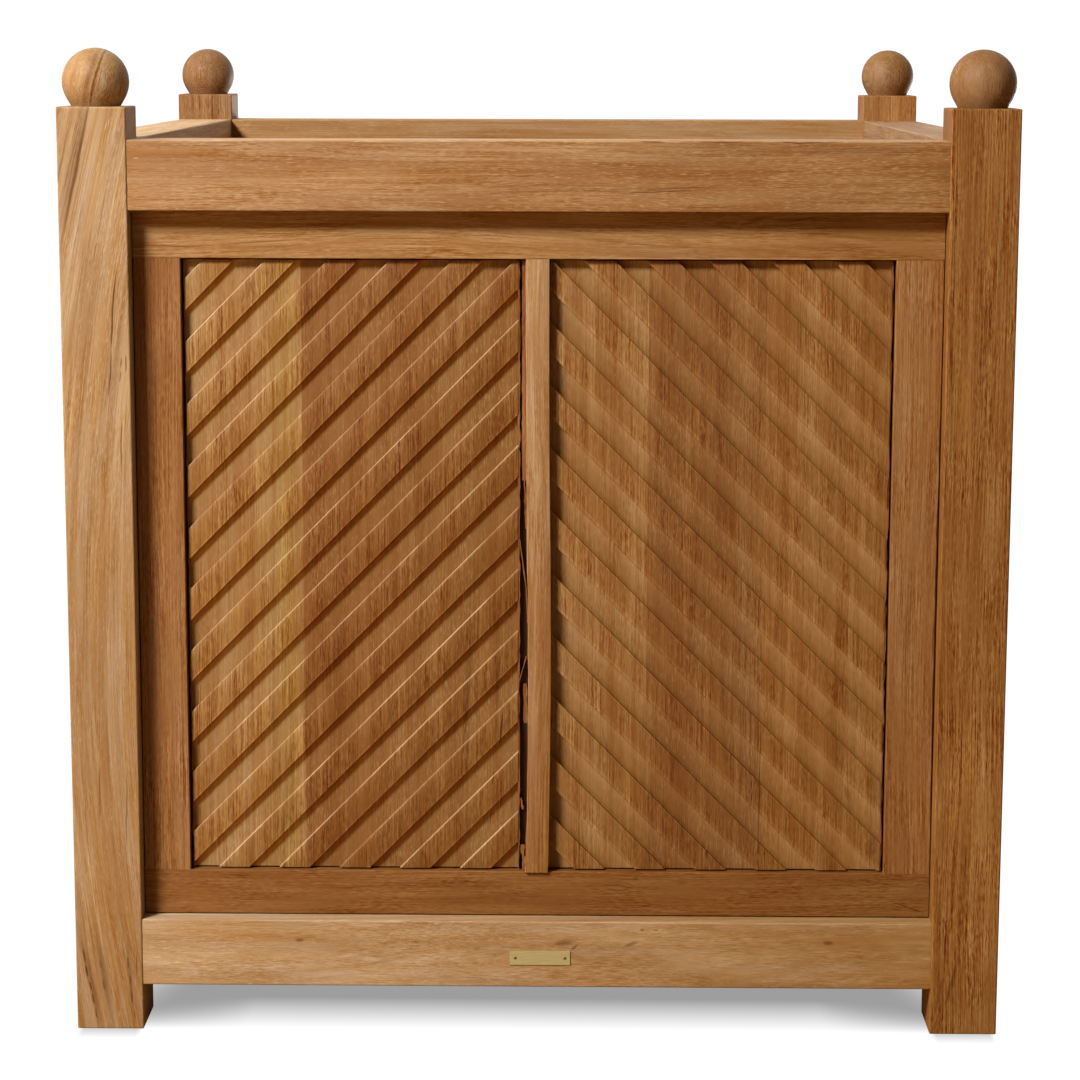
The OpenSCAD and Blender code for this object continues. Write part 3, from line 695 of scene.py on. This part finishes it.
def teakMaterial(name, changes, box):
    # teak, sawn, planed and oiled: warm brown with darker late wood, fine open pores and pale flecks
    look = {**teakBase, **changes}
    material = bpy.data.materials.new("oiled_teak_" + name)
    material.use_nodes = True
    tree = material.node_tree
    shader = tree.nodes["Principled BSDF"]
    tone = linearColour(look["tone"])

    def shade(red, green, blue):
        return (tone[0] * red, tone[1] * green, tone[2] * blue, 1.0)

    def depth(gain):
        return shade(*(max(darkest, 1 + (gain - 1) * share) for share in tintShares))

    # seen from its own side a piece has X to the right, Y inwards and Z up
    quarter = -sideOf(name) * math.pi / 2
    toSide = Matrix.Rotation(quarter, 3, "Z")
    corners = [toSide @ Vector(corner) for corner in box]
    middle = Vector(look["middle"]) * mm if "middle" in look else (corners[0] + corners[1]) / 2
    point = addNode(tree, "ShaderNodeTexCoord", {}, {}).outputs["Object"]
    spot = addNode(tree, "ShaderNodeMapping", {}, {"Vector": point, "Rotation": (0, 0, quarter)}).outputs[0]
    axes = addNode(tree, "ShaderNodeSeparateXYZ", {}, {"Vector": spot}).outputs
    across, below, lengthwise = logPlace(tree, look, spot, middle)
    if "boards" in look:
        left, right = sorted(corner.x for corner in corners)
        board = boardChoice(tree, look, axes["X"], left, right)
        # each board comes from another place in the log
        lengthwise = addNode(tree, "ShaderNodeMath", {"operation": "MULTIPLY_ADD"}, {
            0: board["Alpha"], 1: boardStep, 2: lengthwise}).outputs[0]
    log = addNode(tree, "ShaderNodeCombineXYZ", {}, {"X": across, "Y": below, "Z": lengthwise}).outputs[0]

    drift = woodPattern(tree, look, "wave", log)["Color"]
    grain = addNode(tree, "ShaderNodeVectorMath", {"operation": "MULTIPLY_ADD"}, {
        0: drift, 1: (look["wave"] * 2 * mm, look["wave"] * 2 * mm, 0), 2: log}).outputs[0]
    flat = addNode(tree, "ShaderNodeVectorMath", {"operation": "MULTIPLY"}, {
        0: grain, 1: (1, 1 / look["layers"], 0)}).outputs[0]
    distance = addNode(tree, "ShaderNodeVectorMath", {"operation": "LENGTH"}, {0: flat}).outputs["Value"]
    levels, finer = look["ringDetail"]
    rings = addNode(tree, "ShaderNodeTexNoise", {"noise_dimensions": "1D"}, {
        "W": distance, "Scale": 1000 / look["ring"], "Detail": levels, "Roughness": finer}).outputs["Fac"]
    patch = woodPattern(tree, look, "patch", log)["Fac"]
    tones, figure, hue, cluster, fibre, speck, pores, fleck = (
        woodPattern(tree, look, kind, grain)["Fac"]
        for kind in ("tone", "figure", "hue", "cluster", "fibre", "speck", "pore", "fleck"))
    # pale flecks come in clusters
    flecks = addNode(tree, "ShaderNodeMath", {"operation": "MULTIPLY_ADD"}, {
        0: patch, 1: look["fleckCluster"], 2: fleck}).outputs[0]

    face = min(corner.y for corner in corners)
    poreDepth, calmness = look["poreDepth"], 1.0
    if "milled" in look:
        # a cutter leaves the grooves smoother than the weathered bands
        milled = look["milled"]
        start, end = (face + part * milled["deep"] * mm for part in milled["calmRange"])
        groove = addNode(tree, "ShaderNodeMapRange", smooth, {
            "Value": axes["Y"], "From Min": start, "From Max": end}).outputs[0]
        poreDepth, calmness = (addNode(tree, "ShaderNodeMapRange", {}, {
            "Value": groove, "To Min": most, "To Max": most * milled["calm"]}).outputs[0]
            for most in (poreDepth, 1.0))

    light, dark = depth(1 + look["toneSpan"]), depth(1 - look["toneSpan"])
    colour = stain(tree, light, tones, *look["toneRange"], 1.0, dark)
    if "boards" in look:
        colour = addNode(tree, "ShaderNodeVectorMath", {"operation": "MULTIPLY"}, {
            0: colour, 1: board["Color"]}).outputs[0]
    # the long lines and the short ones are stronger in some places than in others
    weakest, strongest = 1 - look["clusterSpan"], 1 + look["clusterSpan"]
    strength = addNode(tree, "ShaderNodeMapRange", smooth, {
        "Value": cluster, "From Min": look["clusterRange"][0], "From Max": look["clusterRange"][1],
        "To Min": weakest, "To Max": strongest}).outputs[0]
    lightness = {}
    for kind, pattern, gain in (("figure", figure, 1.0), ("hue", hue, 1.0),
                                ("fibre", fibre, strength), ("speck", speck, strength)):
        span, reach = look[kind + "Span"], lineReach[kind]
        lines = addNode(tree, "ShaderNodeMapRange", smooth, {
            "Value": pattern, "From Min": 0.5 - reach, "From Max": 0.5 + reach,
            "To Min": -span, "To Max": span}).outputs[0]
        calm = addNode(tree, "ShaderNodeMath", {"operation": "MULTIPLY"}, {0: gain, 1: calmness}).outputs[0]
        lightness[kind] = addNode(tree, "ShaderNodeMath", {"operation": "MULTIPLY"}, {
            0: lines, 1: calm}).outputs[0]
    total = lightness["figure"]
    for kind in ("fibre", "speck"):
        total = addNode(tree, "ShaderNodeMath", {"operation": "ADD"}, {
            0: total, 1: lightness[kind]}).outputs[0]
    colour = lighten(tree, colour, total)
    colour = lighten(tree, colour, lightness["hue"], hueShares)
    fleckFrom, fleckFull = look["fleckFrom"], look["fleckFrom"] + look["fleckSoft"]
    colour = stain(tree, colour, rings, *look["ringRange"], look["ringDepth"], depth(look["ringGain"]))
    colour = stain(tree, colour, flecks, fleckFrom, fleckFull, look["fleckDepth"], depth(look["fleckGain"]))
    colour = stain(tree, colour, pores, *look["poreRange"], poreDepth, depth(look["poreGain"]))
    colour = addMarks(tree, look, colour, spot, axes["Y"], log, face)
    colour = addEndGradient(tree, look["fade"], colour, axes, corners)
    if "milled" in look:
        colour = addMillingAndPaintedLight(tree, milled, colour, axes, face, patch, shade)
    tree.links.new(colour, shader.inputs["Base Color"])

    height = addNode(tree, "ShaderNodeMath", {"operation": "SUBTRACT"}, {0: fibre, 1: pores}).outputs[0]
    bump = addNode(tree, "ShaderNodeBump", {}, {
        "Height": height, "Strength": look["bump"], "Distance": look["relief"] * mm}).outputs[0]
    tree.links.new(bump, shader.inputs["Normal"])
    matt = addNode(tree, "ShaderNodeMapRange", {}, {
        "Value": fibre, "From Min": look["roughRange"][0], "From Max": look["roughRange"][1],
        "To Min": look["roughness"][0], "To Max": look["roughness"][1]}).outputs[0]
    tree.links.new(matt, shader.inputs["Roughness"])
    shader.inputs["IOR"].default_value = look["ior"]
    shader.inputs["Specular IOR Level"].default_value = look["gloss"]
    return material


# One log gave the left post and its ball, so one dark mineral line runs through both
leftPostGrain = {"middle": (-371, -371, 400), "sweep": (330, 0.27), "pith": (190, 30, 0), "ring": 14}

# The looks of the front's pieces, one by one
frontWood = {
    "front_left_post": {
        **leftPostGrain, "slant": 1.0, "tone": "#9A7953", "fade": (0, 0.05), "poreDepth": 0.15,
        "fibreSpan": 0.2, "speckSpan": 0.11, "figureSpan": 0.14, "hueSpan": 0.13,
        "streaks": (
            (-384.5, 744, 4.4, 190, 12.5, 0.95), (-388, 742, 11, 180, 13, 0.45),
            (-396, 752, 3.4, 110, 14, 0.5), (-388, 45, 8, 120, -12, 0.55), (-375, 48, 10, 110, -8, 0.45),
            (-353, 40, 5, 110, -3, 0.5), (-349, 480, 2.6, 160, 2, 0.3), (-377, 210, 2.6, 90, 1, 0.3),
        ),
        "cracks": (
            (-356, 626, 1.9, 78, 5, 0.85), (-359.5, 574, 1.8, 46, 4, 0.8), (-351, 514, 1.4, 45, 1, 0.7),
            (-346, 583, 1.3, 18, 1, 0.8), (-376, 212, 1.2, 50, 1, 0.6), (-353, 196, 1.3, 74, 1, 0.6),
            (-393, 66, 1.8, 14, -9, 0.7), (-391, 52, 2.2, 12, -12, 0.75), (-388, 39, 1.8, 10, -9, 0.7),
            (-386, 27, 2.4, 11, -12, 0.7), (-383, 14, 1.8, 12, -9, 0.6), (-379, 58, 1.6, 10, -8, 0.5),
            (-376, 40, 1.8, 12, -8, 0.5), (-355, 60, 1.8, 12, -3, 0.65), (-353, 45, 1.5, 10, -3, 0.6),
            (-352, 29, 1.8, 12, -3, 0.6), (-350, 13, 1.5, 9, -3, 0.5), (-347, 58, 1.4, 30, 0, 0.6),
            (-350, 584, 1.3, 10, 6, 0.7), (-351, 572, 1.5, 11, 8, 0.6),
        ),
        "palesAndHighlights": ((-362, 735, 40, 150, 8, 0.14),),
    },
    "front_left_finial": {
        **leftPostGrain, "tone": "#9B7851", "poreDepth": 0.2, "fibreSpan": 0.22, "speckSpan": 0.16,
        "streaks": ((-367, 820, 3.2, 90, 14.6, 0.95), (-372, 820, 9, 80, 14.6, 0.55)),
    },
    "front_right_post": {
        "tone": "#855827", "ring": 12, "pith": (260, 20, 0), "fibreSpan": 0.47, "speckSpan": 0.36,
        "streaks": (
            (368, 157, 7, 110, -1, 0.3), (360, 46, 5, 66, 14, 0.6), (350, 38, 4, 56, 12, 0.45),
            (352, 420, 3, 300, 1, 0.25), (377, 600, 4, 260, 1, 0.2),
        ),
        "palesAndHighlights": ((371, 165, 90, 270, 0, 0.24),),
    },
    "front_right_finial": {"tone": "#815B37", "poreDepth": 0.3},
    "front_top_rail": {
        "tone": "#90683F", "along": "X", "fleckDepth": 0.6, "fleckFrom": 0.72, "ring": 6, "wave": 5,
        "figureSpan": 0.17, "ringDepth": 0.3, "poreDepth": 0.2, "fade": (-0.08, 0), "fibreSpan": 0.23,
        "speckSpan": 0.17,
        "streaks": ((240, 763, 13, 330, 90, 0.22), (40, 729, 3, 240, 88, 0.35)),
        "cracks": (
            (-342.5, 726, 1.8, 52, 0, 0.9), (222, 769, 1.3, 60, 90, 0.85), (150, 769, 1.2, 40, 90, 0.7),
            (96, 769, 1.2, 25, 90, 0.7), (100, 728, 1.2, 70, 88, 0.6), (118, 731, 1.2, 80, 86, 0.5),
        ),
        # the last, long band paints a highlight on the rail's top face and the arrises beside it
        "palesAndHighlights": ((-334, 755, 1.6, 6, 90, 0.9), (40, 768, 1.2, 22, 90, 0.8), (0, 771, 5, 1600, 90, 0.55)),
    },
    "front_frame_head": {
        "tone": "#90683B", "along": "X", "wave": 16, "ring": 9, "fade": (-0.09, 0), "figureSpan": 0.12,
        "fibreSpan": 0.27, "speckSpan": 0.17, "poreDepth": 0.2, "ringDepth": 0.45,
        "streaks": (
            (-308, 681, 2.0, 70, -88, 0.6), (-240, 684, 2.0, 110, 86, 0.6),
            (-170, 690, 2.0, 90, 84, 0.45), (90, 684, 3, 180, -86, 0.3), (240, 692, 4, 160, -84, 0.35),
        ),
        # a painted highlight along the lower arris of its right half
        "palesAndHighlights": ((150, 671, 3, 330, 90, 0.5),),
    },
    "front_frame_sill": {
        "tone": "#784C20", "along": "X", "fibreSpan": 0.22, "speckSpan": 0.24, "poreDepth": 0.25,
        "fade": (-0.09, 0),
        "cracks": ((325, 108, 1.2, 34, -69, 0.7),),
    },
    "front_bottom_rail": {
        "tone": "#A17F58", "along": "X", "pith": (0, 26, -6), "tilt": (4, 0, 0), "fade": (-0.28, 0),
        "wave": 7, "ring": 10, "fibreSpan": 0.16, "speckSpan": 0.1, "poreDepth": 0.16, "figureSpan": 0.12,
        "streaks": (
            (24, 80, 9, 28, 84, 0.7), (33, 76, 4, 12, 50, 0.7), (253, 81, 6, 14, 90, 0.75),
            (92, 92, 3, 6, 80, 0.8), (104, 92, 2, 5, 80, 0.7), (82, 79, 5, 18, 70, 0.7),
            (-205, 81, 5, 12, 90, 0.75),
        ),
    },
    "front_frame_left_stile": {"tone": "#83582E", "fade": (0, -0.1)},
    "front_frame_right_stile": {
        "tone": "#865A2F", "fade": (0, 0.1), "figureSpan": 0.06,
        "cracks": ((340.9, 365, 2.8, 440, 0, 1.0),),
    },
    "front_frame_muntin": {
        "tone": "#966F47", "fade": (-0.14, 0.34), "fibreSpan": 0.25, "speckSpan": 0.12, "poreDepth": 0.12,
    },
    "front_left_panel": {
        "tone": "#886031",
        "boards": ((-310, "#FFFFFF"), (-201, "#DFC9AF"), (-103, "#DFCCB0")),
        "sapwood": ((-213, 420, 24, 1400, 0, 0.42), (-226, 420, 40, 1400, 0, 0.22)),
        "streaks": ((-60, 292, 7, 120, 4, 0.4), (-34, 300, 5, 70, 3, 0.4)),
        "cracks": (
            (-31, 265, 1.6, 37, 4, 0.9), (-38, 220, 1.2, 16, 3, 0.8), (-31, 199, 1.2, 12, 3, 0.7),
            (-40, 185, 1.2, 14, 3, 0.7),
        ),
    },
    "front_right_panel": {
        "tone": "#845A2C",
        "boards": ((0, "#FFFFFF"), (94, "#E6D7C9"), (193, "#FEF7EB")),
        "streaks": (
            (291, 161, 14, 30, 10, 0.4), (269, 210, 5, 26, -23, 0.45), (262, 300, 4, 60, 8, 0.35),
            (150, 520, 8, 60, 5, 0.35), (60, 250, 3, 50, -14, 0.35),
        ),
        "cracks": ((193, 205, 1.1, 130, 0, 0.6), (269, 205, 1.3, 18, -23, 0.5)),
    },
    "left_side_top_rail": {
        "tone": "#AE8659", "along": "X", "fade": (0, 0.4), "fibreSpan": 0.22, "speckSpan": 0.14,
    },
    "back_top_rail": {
        "tone": "#A0774C", "along": "X", "fibreSpan": 0.16, "speckSpan": 0.07, "poreDepth": 0.1,
    },
    "back_left_finial": {"tone": "#815C3B", "poreDepth": 0.35},
    "back_right_finial": {"tone": "#8D653D", "poreDepth": 0.35},
    "back_left_post": {"tone": "#855F39", "ring": 12},
    "back_right_post": {"tone": "#996937", "ring": 12},
}
# and of all the others, by what their names end with
otherWood = {
    "_post": {"tone": "#8D6336", "ring": 12},
    "_finial": {"tone": "#87613C", "poreDepth": 0.35},
    "_rail": {"tone": "#9D764E", "along": "X"},
    "_head": {"tone": "#946839", "along": "X", "wave": 14},
    "_sill": {"tone": "#7C4F26", "along": "X"},
    "_stile": {"tone": "#86592F"},
    "_muntin": {"tone": "#986D43"},
    "_left_panel": {"tone": "#8C5F30", "boards": ((-310, "#FFFAF0"), (-212, "#E6D2C0"), (-108, "#F4E4D6"))},
    "_right_panel": {"tone": "#875A2C", "boards": ((0, "#F4F0EC"), (98, "#E2CBBE"), (201, "#FFFFF2"))},
    "_bearer": {"tone": "#946A3E", "along": "Y"},
    "floor_slat": {"tone": "#976C3F", "along": "X"},
    "_dowels": {"tone": "#A07548"},
}
panelWood = {
    "layers": 12, "wave": 4, "ring": 7, "pith": (420, 60, 0), "poreDepth": 0.25, "fibreSpan": 0.34,
    "speckSpan": 0.28, "clusterSpan": 0.5, "figureSpan": 0.17,
}
# The milled face, as it was cut and as it has weathered. Parts are of the grooves' depth.
milling = {
    "pitch": 37.5,  # mm, square across the bands
    "angle": 45.5,  # degrees
    "deep": 4.2,  # mm
    "tongue": 12,  # mm from the face to the back of the panel's tongue
    "calm": 0.5,  # how much of the grain the cutter left in the grooves
    "calmRange": (0.3, 0.9),  # parts between which that sets in
    "wall": (0.02, 0.12, 0.8, 0.95),  # parts where its pale wood and painted highlight begin, are full, still are, and end
    "barePatches": (0.38, 0.6),
    "bareTone": "#C6AF88",
    "bandWearAndHighlight": (0.3, 1.1),  # for the least and the most worn and highlit band
    # painted shade: the wood deep in the open joints is darkened almost to black
    "paintedJointShadeRange": (1.06, 1.16),  # parts
    "paintedJointShade": 0.97,
    "paintedJointShadeEnd": 1,  # mm, over which it ends at the tongue's back
    "paintedJointShadeGain": (0.1, 0.06, 0.03),
    "most": 2.2,  # no gain below is above this
}
# From one band's top edge up to the next one's: the place, and the gains of red, green and blue. The
# smooth grooves are paler than the bands, partly their own colour and partly painted light. On a left-hand
# panel painted light lifts the cast shadow under each band and a painted highlight lies near a band's top
# edge; on a right-hand panel the corner above a band stays darker as painted shade, and the groove is
# painted lighter up to the corner under the next one.
leftMillingAndPaintedLight = {
    **milling, "rises": 1, "topEdge": 47.5, "bare": (0.2, 0.5),
    "across": (
        (0.0, 1.12, 1.26, 1.75), (0.28, 1.13, 1.32, 1.82), (0.33, 1.25, 1.42, 1.8),
        (0.38, 1.6, 1.6, 1.5), (0.47, 1.9, 1.7, 1.3), (0.50, 1.4, 1.3, 1.1), (0.55, 1.0, 1.0, 1.0),
        (0.86, 1.0, 1.0, 1.0), (0.96, 1.05, 1.15, 1.45),
    ),
}
rightMillingAndPaintedLight = {
    **milling, "rises": -1, "topEdge": 40, "bare": (0.0, 0.0),
    "across": (
        (0.0, 1.0, 0.97, 0.8), (0.04, 1.0, 0.97, 0.8), (0.075, 1.03, 1.06, 1.1),
        (0.14, 1.09, 1.17, 1.38), (0.27, 1.11, 1.24, 1.58), (0.38, 1.22, 1.44, 2.0),
        (0.46, 1.26, 1.5, 2.1), (0.51, 1.22, 1.36, 1.65), (0.60, 0.98, 0.98, 0.98),
        (0.96, 0.98, 0.98, 0.98), (0.99, 1.2, 1.14, 1.0),
    ),
}
# On the other sides, which the camera here doesn't see, the grooves are paler and thin lines of painted
# shade lie in both their corners. On the other sides, which the photograph doesn't show, thin lines of
# dirt lie in both corners
evenMillingAndPaintedLight = {
    "bare": (0.05, 0.35),
    "across": (
        (0.0, 0.72, 0.66, 0.6), (0.035, 1.04, 1.08, 1.2), (0.45, 1.04, 1.08, 1.2),
        (0.485, 0.72, 0.66, 0.6), (0.5, 1.0, 1.0, 1.0), (0.98, 1.0, 1.0, 1.0), (1.0, 0.8, 0.76, 0.7),
    ),
}

firstSeed, nextSeed = 1, 0.61  # so each piece comes from another place in the log

wooden = [name for name in sorted(nodes) if not any(k in name for k in ("screws", "plate", "pins"))]
for number, name in enumerate(wooden):
    look = dict(frontWood.get(name) or next(v for k, v in otherWood.items() if k in name))
    look["seed"] = firstSeed + nextSeed * number
    if name.endswith("_panel"):
        milled = leftMillingAndPaintedLight if name.endswith("left_panel") else rightMillingAndPaintedLight
        if not name.startswith("front"):
            milled = {**milled, **evenMillingAndPaintedLight}
        look = {**panelWood, **look, "milled": milled}
    material = teakMaterial(name, look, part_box(name))
    if shown[name] is nodes[name]:
        nodes[name].material_slots[0].material = material
    else:
        shown[name].data.materials.clear()
        shown[name].data.materials.append(material)

fibreWood = {"tone": "#7C4F28", "seed": 3.3, "fibreSpan": 0.4}
fibrePiece.data.materials.append(teakMaterial("torn_fibres", fibreWood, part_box("front_left_panel")))

print("stage: brass and steel")

# Lines are the sizes in mm, along X, Y and Z, of the fine lines that a finishing belt leaves
satinBrass = {"tone": "#E2DEA9", "metallic": 0.85, "roughness": (0.40, 0.56), "lines": (14, 0.6, 0.6)}
tarnishedBrass = {"tone": "#7C6538", "metallic": 0.7, "roughness": (0.52, 0.68), "lines": (2, 2, 2)}
stainlessSteel = {"tone": "#BEBBB4", "metallic": 1.0, "roughness": (0.27, 0.43), "lines": (2, 2, 8)}
beltMarks = {
    "detail": 3.0,
    "range": (0.3, 0.7),  # of the lines' pattern
    "gain": 0.86,  # how dark a line is
    "relief": 0.02,  # mm
    "bump": 0.5,
}


def metalMaterial(name, look):
    # rolled metal, brushed with a fine belt: its gloss is drawn out along the lines
    material = bpy.data.materials.new(name)
    material.use_nodes = True
    tree = material.node_tree
    shader = tree.nodes["Principled BSDF"]
    shader.inputs["Metallic"].default_value = look["metallic"]
    point = addNode(tree, "ShaderNodeTexCoord", {}, {}).outputs["Object"]
    drawn = addNode(tree, "ShaderNodeMapping", {}, {
        "Vector": point, "Scale": tuple(1000 / size for size in look["lines"])}).outputs[0]
    lines = addNode(tree, "ShaderNodeTexNoise", {}, {
        "Vector": drawn, "Scale": 1.0, "Detail": beltMarks["detail"]}).outputs["Fac"]
    start, end = beltMarks["range"]
    tone = linearColour(look["tone"])
    darker = tuple(part * beltMarks["gain"] for part in tone[:3]) + (1.0,)
    colour = stain(tree, tone, lines, start, end, 1.0, darker)
    tree.links.new(colour, shader.inputs["Base Color"])
    gloss = addNode(tree, "ShaderNodeMapRange", {}, {
        "Value": lines, "From Min": start, "From Max": end,
        "To Min": look["roughness"][0], "To Max": look["roughness"][1]}).outputs[0]
    tree.links.new(gloss, shader.inputs["Roughness"])
    bump = addNode(tree, "ShaderNodeBump", {}, {
        "Height": lines, "Strength": beltMarks["bump"], "Distance": beltMarks["relief"] * mm}).outputs[0]
    tree.links.new(bump, shader.inputs["Normal"])
    return material


steel = metalMaterial("stainless_steel", stainlessSteel)
metals = {"brass_plate": metalMaterial("satin_brushed_brass", satinBrass),
          "plate_pins": metalMaterial("tarnished_brass", tarnishedBrass),
          "slat_screws": steel, "bearer_screws": steel}
for name, material in metals.items():
    nodes[name].material_slots[0].material = material
